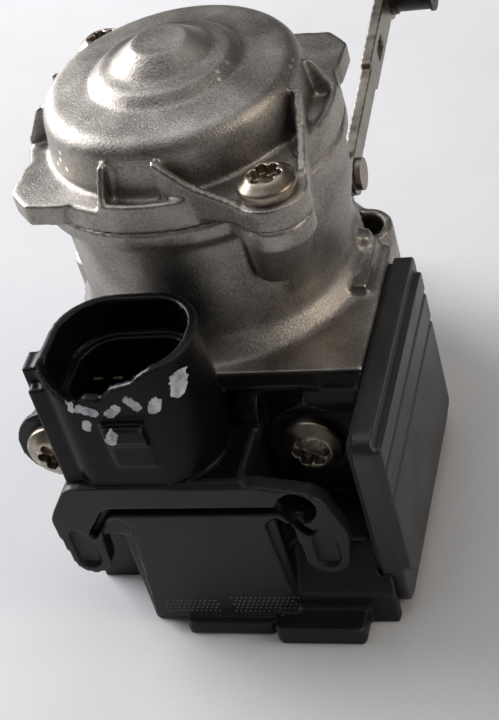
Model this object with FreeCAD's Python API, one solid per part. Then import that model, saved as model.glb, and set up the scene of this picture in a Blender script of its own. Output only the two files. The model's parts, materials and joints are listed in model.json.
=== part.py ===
import FreeCAD, Part
import math
import os

from FreeCAD import Vector

# An electric actuator that opens the bypass flap of a turbocharger, in millimetres.
# The motor axis is X = Y = 0 and the base face is Z = 0. The electrical socket is at the front (-Y),
# and the link rod to the flap runs out at the back (+Y).

# Fits and small gaps
RUNNING_GAP = 0.03
SOFT_GAP = 0.05
EASY_GAP = 0.3

# Motor can, a round part of the casting
CAN_R = 22.5
CAN_BORE_R = 19.8
CAN_FOOT_R = 25.0
CAN_FOOT_H = 3.0
FLANGE_R = 25.0
FLANGE_T = 3.5
PART_Z = 62.3
CAVITY_FLOOR_Z = 38.6

# Motor cap: a domed casting on the can
CAP_FLANGE_T = 3.7
CAP_WALL = 1.8
DOME_FOOT_R = 21.2
DOME_SHOULDER_R = 20.2
DOME_SHOULDER_Z = 74.4
STEP_R = 12.2
STEP_FOOT_Z = 75.4
STEP_TOP_Z = 77.0
BOSS_FOOT_R = 8.0
BOSS_TOP_R = 4.4
TOTAL_H = 80.0
SPIGOT_T = 1.2
SPIGOT_H = 2.4
FIRST_SCREW_AZ = -48.5
LUG_REACH = 28.0
LUG_R = 5.8
WING_REACH = 29.0
WING_TIP_HALF = 2.6
WING_ROOT_HALF = 8.0
WEB_T = 1.4
WEB_ROOT_U = 17.6
WEB_ROOT_V = 12.4
WEB_TIP_U = 28.6
WEB_TIP_V = 5.4
RIB_T = 1.1
RIB_OFFSET_AZ = 57.5
RIM_H = 1.2
RIM_T = 1.3
RIM_FROM_AZ = 24.0
RIM_TO_AZ = 57.5

# Cap screws, countersunk into nothing: round heads that seat on the lugs
CAP_SCREW_R = 2.5
CAP_SCREW_HEAD_R = 4.5
CAP_SCREW_HEAD_H = 2.8
CAP_SCREW_GRIP = 10.0
BOSS_TIP_R = 3.8
BOSS_TIP_REACH = 24.0
BOSS_TIP_Z = 49.5
DRIVE_R = 2.5
DRIVE_DEPTH = 1.7

# Gear block under the can
BLOCK_TOP = 36.0
BLOCK_LEFT = -22.0
BLOCK_RIGHT = 27.3
BLOCK_BACK = 4.0
BLOCK_BACK_LEFT = -1.0
COVER_FACE_Y = -26.5
BLOCK_CORNER_R = 3.0
SIDE_BOSS_R = 5.0

# Worm drive: the worm is on the motor shaft and the wheel on the output shaft
MODULE = 1.0
WHEEL_TEETH = 28
WORM_PITCH_R = 4.0
WORM_LENGTH = 19.5
WHEEL_FACE = 5.0
WHEEL_HUB_R = 6.0
WHEEL_HUB_L = 11.0
TOOTH_T = 1.22
PRESSURE_DEG = 20.0
DRIVE_Z = 18.0
WORM_TUNNEL_GAP = 1.4
CHAMBER_WALL = 2.0
CHAMBER_LEFT = -12.0
CHAMBER_RIGHT = 7.0
CHAMBER_END = 12.2
WHEEL_SPACE = 0.8

# Motor shaft and its bearings
SHAFT_R = 2.0
BEARING_R = 6.0
BEARING_W = 4.0
TOP_BEARING_DROP = 6.8
TOP_BEARING_Z = TOTAL_H - TOP_BEARING_DROP
SHAFT_BOTTOM = 3.4
END_BUSH_R = 4.0
END_BUSH_L = 4.0
FLOOR_T = 2.5

# Motor parts inside the can
YOKE_T = 1.2
MAGNET_T = 3.6
AIR_GAP = 0.6
MAGNET_SPAN = 136.0
CORE_BOTTOM = 44.0
CORE_TOP = 57.0
CORE_SLOTS = 8
SLOT_W = 2.2
SLOT_DEPTH = 6.0
COIL_H = 2.2
COMMUTATOR_R = 5.0
COMMUTATOR_L = 4.6
BRUSH_W = 3.0
BRUSH_L = 7.0
HOLDER_T = 1.6
HOLDER_Z = 60.4

# Output shaft, crank and link rod
OUT_SHAFT_R = 4.0
OUT_END_R = 3.0
OUT_BUSH_T = 1.6
SEAL_T = 1.4
OUT_BOSS_R = 8.0
CRANK_T = 2.2
CRANK_PIN_Y = 20.4
CRANK_PIN_Z = 38.4
CRANK_HUB_R = 6.2
CRANK_EYE_R = 3.7
CRANK_GAP = 0.6
CRANK_CLEAR = 1.6
PIN_R = 2.0
PIN_HEAD_R = 3.2
PIN_HEAD_T = 1.0
WASHER_T = 0.4
ROD_T = 2.0
ROD_H = 4.4
ROD_WIDE_H = 6.4
ROD_LENGTH = 49.1
ROD_RISE_DEG = 7.5
ROD_LAP = 24.6
ROD_WINDOW_L = 5.0
ROD_WINDOW_H = 2.6
ROD_EYE_R = 5.2
ROD_BUSH_R = 3.9
ROD_BUSH_L = 8.0
ROD_BORE_R = 2.5
ROD_BUSH_RIM_R = 4.3
ROD_BUSH_RIM_T = 0.6

# Gear cover on the left of the chamber
GEAR_COVER_T = 2.4
GEAR_COVER_LUG_R = 3.2
GEAR_COVER_LUGS = (35.0, 130.0, 230.0, 325.0)
GEAR_SCREW_R = 1.25
GEAR_SCREW_HEAD_R = 2.4
GEAR_SCREW_HEAD_H = 1.8
GEAR_SCREW_GRIP = 6.0
SENSOR_DOME_R = 8.0
SENSOR_DOME_H = 4.6
MAGNET_R = 3.0
MAGNET_DISC_T = 1.5

# Mounting bosses of the casting, with plain holes
MOUNT_HOLE_R = 3.3
MOUNT_BOSS_R = 5.0
MOUNT_BOSSES = ((21.5, 8.6, 36.4), (-24.0, 6.0, 37.0), (0.0, 40.2, 14.0))

# Front cover, moulded in black plastic
COVER_FLANGE_T = 3.5
FRONT_Y = -46.0
COVER_LEFT = -22.5
COVER_RIGHT = 27.3
COVER_LIP_RIGHT = 29.6
LEFT_BODY_Y = -35.8
FRONT_SCREWS = ((18.5, 26.0), (-24.0, 26.0))
FRONT_SCREW_R = 2.75
FRONT_SCREW_HEAD_R = 5.0
FRONT_SCREW_HEAD_H = 2.9
FRONT_SCREW_GRIP = 12.0
COLLAR_R = 7.0
COLLAR_L = 1.2
WELL_R = 7.9
WELL_FLOOR_Z = 13.5
SEAL_MARGIN = 2.0
SEAL_W = 1.6

# Front plate of the front cover: a middle tongue between two ears
PLATE_T = 3.0
PLATE_RIM = 1.0
PLATE_RIM_H = 0.9

# Socket
SOCKET_LEFT = -16.0
SOCKET_RIGHT = 7.2
SOCKET_BACK = -26.6
SOCKET_FRONT = -45.4
SOCKET_TOP = 53.0
SOCKET_FOOT = 31.2
SOCKET_WALL = 1.4
SOCKET_STEP = 1.5
SOCKET_STEP_Z = 46.5
SOCKET_FLOOR_Z = 35.0
SOCKET_CORNER_R = 8.4
BLADE_COUNT = 5
BLADE_PITCH = 3.2
BLADE_W = 1.5
BLADE_T = 0.6
BLADE_TOP = 43.5
BLADE_Y = -35.0
BLADE_LOW_Z = 3.5
BLADE_LEVEL = 1.6

# Side cover and the board behind it
SIDE_COVER_X = 28.0
SIDE_COVER_T = 3.2
SIDE_PANEL_T = 1.2
SIDE_BACK = 1.0
SIDE_FRONT = -43.2
SIDE_BOTTOM = 1.0
SIDE_MARGIN = 4.5
SIDE_SEAL_MARGIN = 0.8
SIDE_CORNER_R = 3.0
BAY_DEPTH = 4.4
BAY_WALL = 3.0
BAY_FRONT_WALL = 5.4
BOARD_T = 1.2

OUT_Y = WORM_PITCH_R + MODULE * WHEEL_TEETH / 2
WHEEL_TIP_R = MODULE * WHEEL_TEETH / 2 + MODULE
CHAMBER_R = WHEEL_TIP_R + WHEEL_SPACE
CASE_R = CHAMBER_R + CHAMBER_WALL
FLANGE_Z = PART_Z - FLANGE_T
CAP_LEDGE_Z = PART_Z + CAP_FLANGE_T
CRANK_X = CHAMBER_END + SEAL_T + CRANK_GAP
ROD_X = CRANK_X + CRANK_T + 0.2

X_AXIS = Vector(1, 0, 0)
Y_AXIS = Vector(0, 1, 0)
Z_AXIS = Vector(0, 0, 1)
ORIGIN = Vector(0, 0, 0)


# Helpers for plain solids

def block(x_span, y_span, z_span):
    corner = Vector(x_span[0], y_span[0], z_span[0])
    return Part.makeBox(x_span[1] - x_span[0], y_span[1] - y_span[0], z_span[1] - z_span[0], corner)


def round_z(radius, low, high, x=0.0, y=0.0):
    return Part.makeCylinder(radius, high - low, Vector(x, y, low), Z_AXIS)


def round_y(radius, low, high, x, z):
    return Part.makeCylinder(radius, high - low, Vector(x, low, z), Y_AXIS)


def round_x(radius, low, high, y, z):
    return Part.makeCylinder(radius, high - low, Vector(low, y, z), X_AXIS)


def polar(radius, azimuth):
    angle = math.radians(azimuth)
    return radius * math.cos(angle), radius * math.sin(angle)


def join(shapes):
    first = shapes[0]
    if len(shapes) == 1:
        return first
    return first.fuse(shapes[1:]).removeSplitter()


# Outlines with rounded corners. A corner is (u, v, radius), and place turns (u, v) into a 3-D point.

def on_xy(z):
    return lambda u, v: Vector(u, v, z)


def on_xz(y):
    return lambda u, v: Vector(u, y, v)


def on_yz(x):
    return lambda u, v: Vector(x, u, v)


def rounded_wire(corners, place):
    arcs = []
    count = len(corners)
    for index, (u, v, radius) in enumerate(corners):
        here = Vector(u, v, 0)
        before = corners[index - 1]
        after = corners[(index + 1) % count]
        back = (Vector(before[0], before[1], 0) - here).normalize()
        ahead = (Vector(after[0], after[1], 0) - here).normalize()
        half = back.getAngle(ahead) / 2
        bisector = (back + ahead).normalize()
        reach = radius / math.tan(half)
        middle = here + bisector * (radius / math.sin(half) - radius)
        arcs.append((here + back * reach, middle, here + ahead * reach, radius))
    edges = []
    for index, (start, middle, end, radius) in enumerate(arcs):
        if radius > 0:
            edges.append(Part.Arc(place(start.x, start.y), place(middle.x, middle.y), place(end.x, end.y)).toShape())
        following = arcs[(index + 1) % count][0]
        if (following - end).Length > 0.0001:
            edges.append(Part.LineSegment(place(end.x, end.y), place(following.x, following.y)).toShape())
    return Part.Wire(edges)


def slab(corners, place, along):
    return Part.Face(rounded_wire(corners, place)).extrude(along)


def turned(corners, sweep=360.0):
    face = Part.Face(rounded_wire(corners, on_xz(0.0)))
    return face.revolve(ORIGIN, Z_AXIS, sweep)


def spun(shape, azimuth):
    copy = shape.copy()
    copy.rotate(ORIGIN, Z_AXIS, azimuth)
    return copy


def twice(shape):
    return [shape, spun(shape, 180.0)]


# Motor cap

def cap_dome():
    outer = [
        (0.0, TOTAL_H, 0.0),
        (BOSS_TOP_R, TOTAL_H, 1.6),
        (BOSS_FOOT_R, STEP_TOP_Z + 0.4, 1.6),
        (STEP_R - 1.9, STEP_TOP_Z, 1.4),
        (STEP_R, STEP_FOOT_Z, 0.9),
        (DOME_SHOULDER_R, DOME_SHOULDER_Z, 3.2),
        (DOME_FOOT_R, CAP_LEDGE_Z, 0.7),
        (FLANGE_R - 0.2, CAP_LEDGE_Z, 0.7),
        (FLANGE_R, PART_Z, 0.0),
    ]
    spigot = [
        (CAN_BORE_R - SOFT_GAP, PART_Z, 0.0),
        (CAN_BORE_R - SOFT_GAP, PART_Z - SPIGOT_H, 0.0),
        (CAN_BORE_R - SPIGOT_T, PART_Z - SPIGOT_H, 0.0),
    ]
    inside_r = DOME_SHOULDER_R - CAP_WALL
    pocket_top = TOP_BEARING_Z + BEARING_W + 0.8
    inner = [
        (inside_r, DOME_SHOULDER_Z - CAP_WALL - 1.5, 1.5),
        (BEARING_R + CAP_WALL, DOME_SHOULDER_Z - CAP_WALL, 0.0),
        (BEARING_R + CAP_WALL, TOP_BEARING_Z - 0.8, 0.0),
        (BEARING_R, TOP_BEARING_Z - 0.8, 0.0),
        (BEARING_R, pocket_top, 0.0),
        (0.0, pocket_top, 0.0),
    ]
    return turned(outer + spigot + inner)


def cap_lug():
    height = CAP_FLANGE_T + 0.3
    pad = round_z(LUG_R, PART_Z, PART_Z + height, LUG_REACH)
    neck = slab(
        [
            (CAN_BORE_R, -WING_ROOT_HALF, 0.0),
            (LUG_REACH - 1.0, -LUG_R, 0.0),
            (LUG_REACH - 1.0, LUG_R, 0.0),
            (CAN_BORE_R, WING_ROOT_HALF, 0.0),
        ],
        on_xy(PART_Z),
        Z_AXIS * height,
    )
    return [pad, neck]


def cap_web(side):
    root = Vector(WEB_ROOT_U, side * WEB_ROOT_V, 0)
    tip = Vector(WEB_TIP_U, side * WEB_TIP_V, 0)
    run = (tip - root).Length
    profile = [
        (0.0, PART_Z + 1.0, 0.0),
        (run, PART_Z + 1.0, 0.0),
        (run, CAP_LEDGE_Z + 0.9, 0.4),
        (run * 0.42, CAP_LEDGE_Z + 3.2, 4.0),
        (0.0, DOME_SHOULDER_Z - 1.6, 0.0),
    ]
    web = slab(profile, on_xz(-WEB_T / 2), Y_AXIS * WEB_T)
    web.rotate(ORIGIN, Z_AXIS, math.degrees(math.atan2(tip.y - root.y, tip.x - root.x)))
    web.translate(root)
    return web


def cap_rib(azimuth):
    profile = [
        (DOME_SHOULDER_R - 1.0, PART_Z + 1.0, 0.0),
        (FLANGE_R - 0.5, PART_Z + 1.0, 0.0),
        (FLANGE_R - 0.5, CAP_LEDGE_Z + 0.8, 0.4),
        (DOME_FOOT_R + 0.6, DOME_SHOULDER_Z - 2.2, 0.8),
        (DOME_SHOULDER_R - 1.0, DOME_SHOULDER_Z - 2.4, 0.0),
    ]
    rib = slab(profile, on_xz(-RIB_T / 2), Y_AXIS * RIB_T)
    return spun(rib, azimuth)


def cap_rim(start):
    low = PART_Z + 1.0
    high = CAP_LEDGE_Z + RIM_H
    section = [
        (FLANGE_R - 0.25 - RIM_T, low, 0.0),
        (FLANGE_R - 0.25, low, 0.0),
        (FLANGE_R - 0.25, high, 0.4),
        (FLANGE_R - 0.25 - RIM_T, high, 0.4),
    ]
    return spun(turned(section, RIM_TO_AZ - RIM_FROM_AZ), start)


def cap_wing():
    outline = [
        (CAN_BORE_R, -WING_ROOT_HALF - 1.6, 0.0),
        (WING_REACH - 4.2, -WING_ROOT_HALF + 1.0, 1.5),
        (WING_REACH, -WING_TIP_HALF, 1.2),
        (WING_REACH, WING_TIP_HALF, 1.2),
        (WING_REACH - 4.2, WING_ROOT_HALF - 1.0, 1.5),
        (CAN_BORE_R, WING_ROOT_HALF + 1.6, 0.0),
    ]
    return slab(outline, on_xy(PART_Z + 0.1), Z_AXIS * CAP_FLANGE_T)


def motor_cap():
    parts = [cap_dome()]
    details = cap_lug()
    for side in (-1, 1):
        details.append(cap_web(side))
        details.append(cap_rib(side * RIB_OFFSET_AZ))
        start = RIM_FROM_AZ if side > 0 else -RIM_TO_AZ
        details.append(cap_rim(start))
    details.append(spun(cap_wing(), 90.0))
    for detail in details:
        placed = spun(detail, FIRST_SCREW_AZ)
        parts.extend(twice(placed))
    cap = join(parts)
    inside = turned(
        [
            (0.0, PART_Z - SPIGOT_H - 1.0, 0.0),
            (CAN_BORE_R - SPIGOT_T, PART_Z - SPIGOT_H - 1.0, 0.0),
            (DOME_SHOULDER_R - CAP_WALL, DOME_SHOULDER_Z - CAP_WALL - 1.5, 1.5),
            (BEARING_R + CAP_WALL, DOME_SHOULDER_Z - CAP_WALL, 0.0),
            (BEARING_R + CAP_WALL, TOP_BEARING_Z - 0.8, 0.0),
            (0.0, TOP_BEARING_Z - 0.8, 0.0),
        ]
    )
    cap = cap.cut(inside)
    for x, y in screw_places():
        cap = cap.cut(round_z(CAP_SCREW_R + EASY_GAP, PART_Z - 1.0, TOTAL_H, x, y))
    return cap


def screw_places():
    return [polar(LUG_REACH, FIRST_SCREW_AZ), polar(LUG_REACH, FIRST_SCREW_AZ + 180.0)]


# Screws with a low domed head and a six-lobed drive

def drive_cut(depth):
    core = Part.makeCylinder(DRIVE_R * 0.72, depth)
    lobes = []
    for index in range(6):
        x, y = polar(DRIVE_R * 0.72, index * 60.0)
        lobes.append(Part.makeCylinder(DRIVE_R * 0.3, depth, Vector(x, y, 0)))
    return join([core] + lobes)


def screw(thread_r, grip, head_r, head_h):
    head = turned(
        [
            (0.0, 0.0, 0.0),
            (head_r, 0.0, 0.0),
            (head_r, head_h * 0.55, head_h * 0.25),
            (head_r * 0.62, head_h, head_h * 0.5),
            (0.0, head_h, 0.0),
        ]
    )
    shank = Part.makeCylinder(thread_r, grip, Vector(0, 0, -grip))
    pocket = drive_cut(DRIVE_DEPTH + 1.0)
    pocket.scale(head_r / CAP_SCREW_HEAD_R)
    pocket.translate(Vector(0, 0, head_h - DRIVE_DEPTH))
    return head.fuse(shank).removeSplitter().cut(pocket)


def cap_screws():
    screws = []
    for x, y in screw_places():
        piece = screw(CAP_SCREW_R, CAP_SCREW_GRIP, CAP_SCREW_HEAD_R, CAP_SCREW_HEAD_H)
        piece.translate(Vector(x, y, CAP_LEDGE_Z + 0.3))
        screws.append(piece)
    return Part.makeCompound(screws)


# Casting with the can, the gear block and the wheel chamber

def can_body():
    return turned(
        [
            (0.0, BLOCK_TOP, 0.0),
            (CAN_FOOT_R, BLOCK_TOP, 0.0),
            (CAN_R, BLOCK_TOP + CAN_FOOT_H, 2.0),
            (CAN_R, FLANGE_Z - 1.6, 0.9),
            (FLANGE_R - 0.6, FLANGE_Z, 0.5),
            (FLANGE_R, FLANGE_Z + 0.6, 0.0),
            (FLANGE_R, PART_Z, 0.0),
            (0.0, PART_Z, 0.0),
        ]
    )


def can_boss():
    top_pad = round_z(LUG_R - 0.2, FLANGE_Z, PART_Z, LUG_REACH)
    neck = block((CAN_R - 3.0, LUG_REACH), (-LUG_R + 0.2, LUG_R - 0.2), (FLANGE_Z, PART_Z))
    upper = Part.Wire(Part.makeCircle(LUG_R - 0.4, Vector(LUG_REACH, 0, FLANGE_Z)))
    lower = Part.Wire(Part.makeCircle(BOSS_TIP_R, Vector(BOSS_TIP_REACH, 0, BOSS_TIP_Z)))
    taper = Part.makeLoft([upper, lower], True, True)
    root = block((CAN_R - 3.0, LUG_REACH), (-BOSS_TIP_R, BOSS_TIP_R), (BOSS_TIP_Z + 2.0, FLANGE_Z))
    root = root.common(taper.fuse(round_z(CAN_R + 1.5, BOSS_TIP_Z, FLANGE_Z)))
    return [top_pad, neck, taper, root]


def can_flank():
    flare = turned(
        [
            (CAN_R - 2.0, BLOCK_TOP + 7.0, 0.0),
            (CAN_R + 0.1, BLOCK_TOP + 7.0, 0.0),
            (FLANGE_R + 0.3, FLANGE_Z - 4.0, 1.5),
            (FLANGE_R + 0.3, PART_Z - 0.4, 0.0),
            (CAN_R - 2.0, PART_Z - 0.4, 0.0),
        ],
        44.0,
    )
    return spun(flare, FIRST_SCREW_AZ + 3.0)


def block_body():
    outline = [
        (BLOCK_LEFT, COVER_FACE_Y, 0.0),
        (BLOCK_RIGHT, COVER_FACE_Y, 0.0),
        (BLOCK_RIGHT, BLOCK_BACK, 1.5),
        (-8.0, BLOCK_BACK, 0.0),
        (-8.0, BLOCK_BACK_LEFT, 0.0),
        (BLOCK_LEFT, BLOCK_BACK_LEFT, BLOCK_CORNER_R),
    ]
    body = slab(outline, on_xy(0.0), Z_AXIS * BLOCK_TOP)
    ledge = block((17.0, 24.6), (0.4, BLOCK_BACK - 0.4), (BLOCK_TOP - 1.0, BLOCK_TOP + 4.0))
    ledge = ledge.makeFillet(0.5, [edge for edge in ledge.Edges if edge.CenterOfMass.z > BLOCK_TOP + 1.0])
    step = block((23.2, 25.4), (-9.0, BLOCK_BACK - 1.0), (BLOCK_TOP - 1.0, BLOCK_TOP + 1.8))
    return [body, ledge, step]


def chamber_body():
    case = round_x(CASE_R, CHAMBER_LEFT, CHAMBER_END, OUT_Y, DRIVE_Z)
    neck = block((CHAMBER_LEFT + 4.0, CHAMBER_END), (0.0, OUT_Y), (0.0, BLOCK_TOP + 0.5))
    boss = round_x(OUT_BOSS_R, CHAMBER_END, CHAMBER_END + SEAL_T, OUT_Y, DRIVE_Z)
    parts = [case, neck, boss]
    for y, z in gear_screw_places():
        parts.append(round_x(GEAR_COVER_LUG_R, CHAMBER_LEFT, CHAMBER_LEFT + GEAR_SCREW_GRIP + 1.5, y, z))
    return parts


def gear_screw_places():
    places = []
    for azimuth in GEAR_COVER_LUGS:
        y, z = polar(CASE_R + 0.4, azimuth)
        places.append((OUT_Y + y, DRIVE_Z + z))
    return places


def mounting_bosses():
    right, left, rear = MOUNT_BOSSES
    parts = []
    for x, y, top in MOUNT_BOSSES:
        parts.append(round_z(MOUNT_BOSS_R, 0.0, top, x, y))
    parts.append(block((right[0] - MOUNT_BOSS_R, right[0] + MOUNT_BOSS_R), (0.0, right[1]), (0.0, BLOCK_TOP - 2.0)))
    parts.append(block((left[0] - 1.0, BLOCK_LEFT + 3.0), (-4.0, left[1] - 0.6), (0.0, BLOCK_TOP - 1.0)))
    parts.append(block((rear[0] - MOUNT_BOSS_R, rear[0] + MOUNT_BOSS_R), (OUT_Y + 12.0, rear[1]), (0.0, rear[2])))
    return parts


def cover_bosses():
    parts = []
    for x, z in FRONT_SCREWS:
        parts.append(round_y(SIDE_BOSS_R, COVER_FACE_Y, COVER_FACE_Y + FRONT_SCREW_GRIP, x, z))
    return parts


def housing_hollows():
    tunnel_r = WORM_PITCH_R + MODULE + WORM_TUNNEL_GAP
    hollows = [
        round_z(CAN_BORE_R, CAVITY_FLOOR_Z, PART_Z + 1.0),
        round_z(BEARING_R, CAVITY_FLOOR_Z - BEARING_W, CAVITY_FLOOR_Z + 1.0),
        round_z(SHAFT_R + 1.0, FLOOR_T, CAVITY_FLOOR_Z),
        round_z(tunnel_r, FLOOR_T + END_BUSH_L, DRIVE_Z + WORM_LENGTH / 2 + 3.0),
        round_z(END_BUSH_R, FLOOR_T, FLOOR_T + END_BUSH_L + 1.0),
        round_x(CHAMBER_R, CHAMBER_LEFT - 1.0, CHAMBER_RIGHT, OUT_Y, DRIVE_Z),
        round_x(OUT_SHAFT_R + OUT_BUSH_T, CHAMBER_RIGHT - 1.0, CHAMBER_END, OUT_Y, DRIVE_Z),
        round_x(OUT_SHAFT_R + OUT_BUSH_T, CHAMBER_END - 1.0, CHAMBER_END + SEAL_T + 1.0, OUT_Y, DRIVE_Z),
        seal_ring(0.0),
        board_bay(),
        crank_space(),
    ]
    for x, y, top in MOUNT_BOSSES:
        hollows.append(round_z(MOUNT_HOLE_R, -1.0, top + 1.0, x, y))
    for x, y in screw_places():
        hollows.append(round_z(CAP_SCREW_R, CAP_LEDGE_Z + 0.3 - CAP_SCREW_GRIP, PART_Z + 1.0, x, y))
    head_seat = COVER_FACE_Y - COVER_FLANGE_T - COLLAR_L
    for x, z in FRONT_SCREWS:
        hollows.append(round_y(FRONT_SCREW_R, COVER_FACE_Y - 1.0, head_seat + FRONT_SCREW_GRIP, x, z))
    for y, z in gear_screw_places():
        depth = CHAMBER_LEFT - GEAR_COVER_T + GEAR_SCREW_GRIP
        hollows.append(round_x(GEAR_SCREW_R, CHAMBER_LEFT - 1.0, depth, y, z))
    return hollows


def crank_space():
    # The crank and the rod swing close past the can, so the casting is cut back beside them.
    x_span = (CRANK_X - EASY_GAP, CRANK_X + 20.0)
    y_span = (CRANK_PIN_Y - CRANK_EYE_R - CRANK_CLEAR, 60.0)
    return block(x_span, y_span, (0.0, CRANK_PIN_Z + CRANK_EYE_R + CRANK_CLEAR))


def seal_ring(gap):
    outer = round_z(FLANGE_R - 1.2 - gap, PART_Z - 1.2, PART_Z)
    return outer.cut(round_z(CAN_BORE_R + 1.4 + gap, PART_Z - 2.0, PART_Z + 1.0))


def gear_housing():
    parts = [can_body()]
    parts += twice_list([spun(piece, FIRST_SCREW_AZ) for piece in can_boss()])
    parts.append(can_flank())
    parts += block_body()
    parts += chamber_body()
    parts += mounting_bosses()
    parts += cover_bosses()
    housing = join(parts)
    return housing.cut(housing_hollows())


def twice_list(shapes):
    doubled = []
    for shape in shapes:
        doubled += twice(shape)
    return doubled


# Front cover

def right_shoulder():
    # The sloping front of the right side, with a lip that wraps the front edge of the side cover.
    profile = [
        (COVER_FACE_Y, 0.0, 0.0),
        (FRONT_Y + 0.6, 0.0, 0.0),
        (FRONT_Y + 1.0, 6.0, 2.0),
        (FRONT_Y + 7.0, 16.0, 4.0),
        (COVER_FACE_Y - COVER_FLANGE_T - 2.6, 34.0, 2.0),
        (COVER_FACE_Y - COVER_FLANGE_T, 35.6, 0.0),
        (COVER_FACE_Y, 35.6, 0.0),
    ]
    shoulder = slab(profile, on_yz(8.0), X_AXIS * (COVER_LIP_RIGHT - 8.0))
    beside = block((COVER_RIGHT, COVER_LIP_RIGHT + 1.0), (SIDE_FRONT - 0.1, 0.0), (-1.0, BLOCK_TOP + 1.0))
    return shoulder.cut(beside)


def cover_flange():
    corner = COVER_RIGHT - FRONT_SCREWS[0][0]
    outline = [
        (COVER_LEFT, 0.0, 1.0),
        (COVER_RIGHT, 0.0, 1.0),
        (COVER_RIGHT, BLOCK_TOP, corner - 0.6),
        (COVER_LEFT, BLOCK_TOP, 2.0),
    ]
    plate = slab(outline, on_xz(COVER_FACE_Y - COVER_FLANGE_T), Y_AXIS * COVER_FLANGE_T)
    x, z = FRONT_SCREWS[1]
    lobe = round_y(COLLAR_R - 1.0, COVER_FACE_Y - COVER_FLANGE_T, COVER_FACE_Y, x, z)
    return [plate, lobe]


def tongue_plate():
    outline = [
        (-20.2, 12.1, 3.0),
        (-14.6, 12.1, 3.0),
        (-13.9, 22.4, 1.6),
        (-11.0, 24.4, 1.2),
        (-8.6, 22.6, 0.8),
        (-10.3, 1.2, 2.0),
        (14.1, 1.2, 2.0),
        (12.9, 22.6, 0.8),
        (14.9, 24.4, 1.2),
        (17.2, 22.4, 1.6),
        (18.0, 12.1, 3.0),
        (24.0, 12.1, 3.0),
        (25.4, 20.0, 4.0),
        (22.6, 28.6, 4.0),
        (13.0, 30.6, 3.0),
        (-17.4, 30.9, 3.0),
        (-21.8, 24.0, 4.0),
    ]
    return slab(outline, on_xz(FRONT_Y), Y_AXIS * PLATE_T)


def tongue_recess():
    groove = [
        (-16.4, 20.6, 0.7),
        (-12.4, 26.3, 2.4),
        (16.2, 26.3, 2.4),
        (20.6, 20.6, 0.7),
        (19.2, 19.8, 0.7),
        (15.4, 25.0, 2.0),
        (10.6, 24.9, 0.5),
        (-6.8, 24.9, 0.5),
        (-11.6, 25.0, 2.0),
        (-15.2, 19.8, 0.7),
    ]
    return slab(groove, on_xz(FRONT_Y - 0.5), Y_AXIS * (PLATE_T - 0.6))


def ear_recess(x_low, x_high):
    outline = [
        (x_low, 13.6, 1.6),
        (x_high, 13.6, 1.6),
        (x_high, 19.0, 1.2),
        (x_low, 24.0, 1.2),
    ]
    return slab(outline, on_xz(FRONT_Y - 0.5), Y_AXIS * (PLATE_RIM_H + 0.5))


def cover_feet():
    left_foot = block((-4.6, 10.0), (FRONT_Y - 2.2, FRONT_Y + 4.0), (0.0, 2.2))
    right_foot = block((10.6, 25.0), (FRONT_Y - 3.9, FRONT_Y + 4.0), (0.0, 3.2))
    feet = []
    for foot in (left_foot, right_foot):
        corners = [edge for edge in foot.Edges if edge.CenterOfMass.y < FRONT_Y - 2.0 and abs(edge.tangentAt(0).z) > 0.9]
        feet.append(foot.makeFillet(1.0, corners))
    return feet


def socket_outline(inset):
    left = SOCKET_LEFT + inset
    right = SOCKET_RIGHT - inset
    back = SOCKET_BACK - inset
    front = SOCKET_FRONT + inset
    radius = SOCKET_CORNER_R - inset
    return [
        (left, front, radius * 0.55),
        (right, front, radius),
        (right, back, radius),
        (left, back, radius),
    ]


def socket_tower():
    tower = slab(socket_outline(0.0), on_xy(SOCKET_FOOT - 4.0), Z_AXIS * (SOCKET_TOP - SOCKET_FOOT + 4.0))
    foot = block((SOCKET_LEFT + 1.0, 11.0), (FRONT_Y + 0.8, COVER_FACE_Y - 1.0), (20.0, SOCKET_FOOT))
    key = block((SOCKET_LEFT - 2.0, SOCKET_LEFT + 1.5), (-42.6, -38.6), (47.6, 52.6))
    rail = block((SOCKET_LEFT - 1.2, SOCKET_LEFT + 1.5), (-44.6, -41.8), (SOCKET_FOOT - 6.0, 50.0))
    return [tower, foot, key, rail]


def latch_ramp():
    profile = [
        (SOCKET_FRONT + 2.0, 35.2, 0.0),
        (SOCKET_FRONT - 0.3, 35.2, 0.0),
        (SOCKET_FRONT - 0.4, 39.6, 0.0),
        (SOCKET_FRONT - 1.6, 41.0, 0.0),
        (SOCKET_FRONT - 1.6, 44.0, 0.0),
        (SOCKET_FRONT + 2.0, 44.0, 0.0),
    ]
    return slab(profile, on_yz(-7.0), X_AXIS * 6.4)


def socket_hollow():
    mouth = slab(socket_outline(SOCKET_WALL), on_xy(SOCKET_STEP_Z), Z_AXIS * (SOCKET_TOP - SOCKET_STEP_Z + 1.0))
    well = slab(
        socket_outline(SOCKET_WALL + SOCKET_STEP),
        on_xy(SOCKET_FLOOR_Z),
        Z_AXIS * (SOCKET_TOP - SOCKET_FLOOR_Z),
    )
    return [mouth, well]


def broken_edge():
    outline = [
        (-16.6, 53.6, 0.0),
        (-14.4, 52.0, 0.0),
        (-12.2, 49.2, 0.0),
        (-10.4, 47.8, 0.0),
        (-8.6, 48.9, 0.0),
        (-6.0, 48.6, 0.0),
        (-4.2, 50.3, 0.0),
        (-0.8, 51.2, 0.0),
        (0.6, 52.3, 0.0),
        (4.0, 53.6, 0.0),
    ]
    return slab(outline, on_xz(SOCKET_FRONT - 3.0), Y_AXIS * 7.6)


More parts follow.
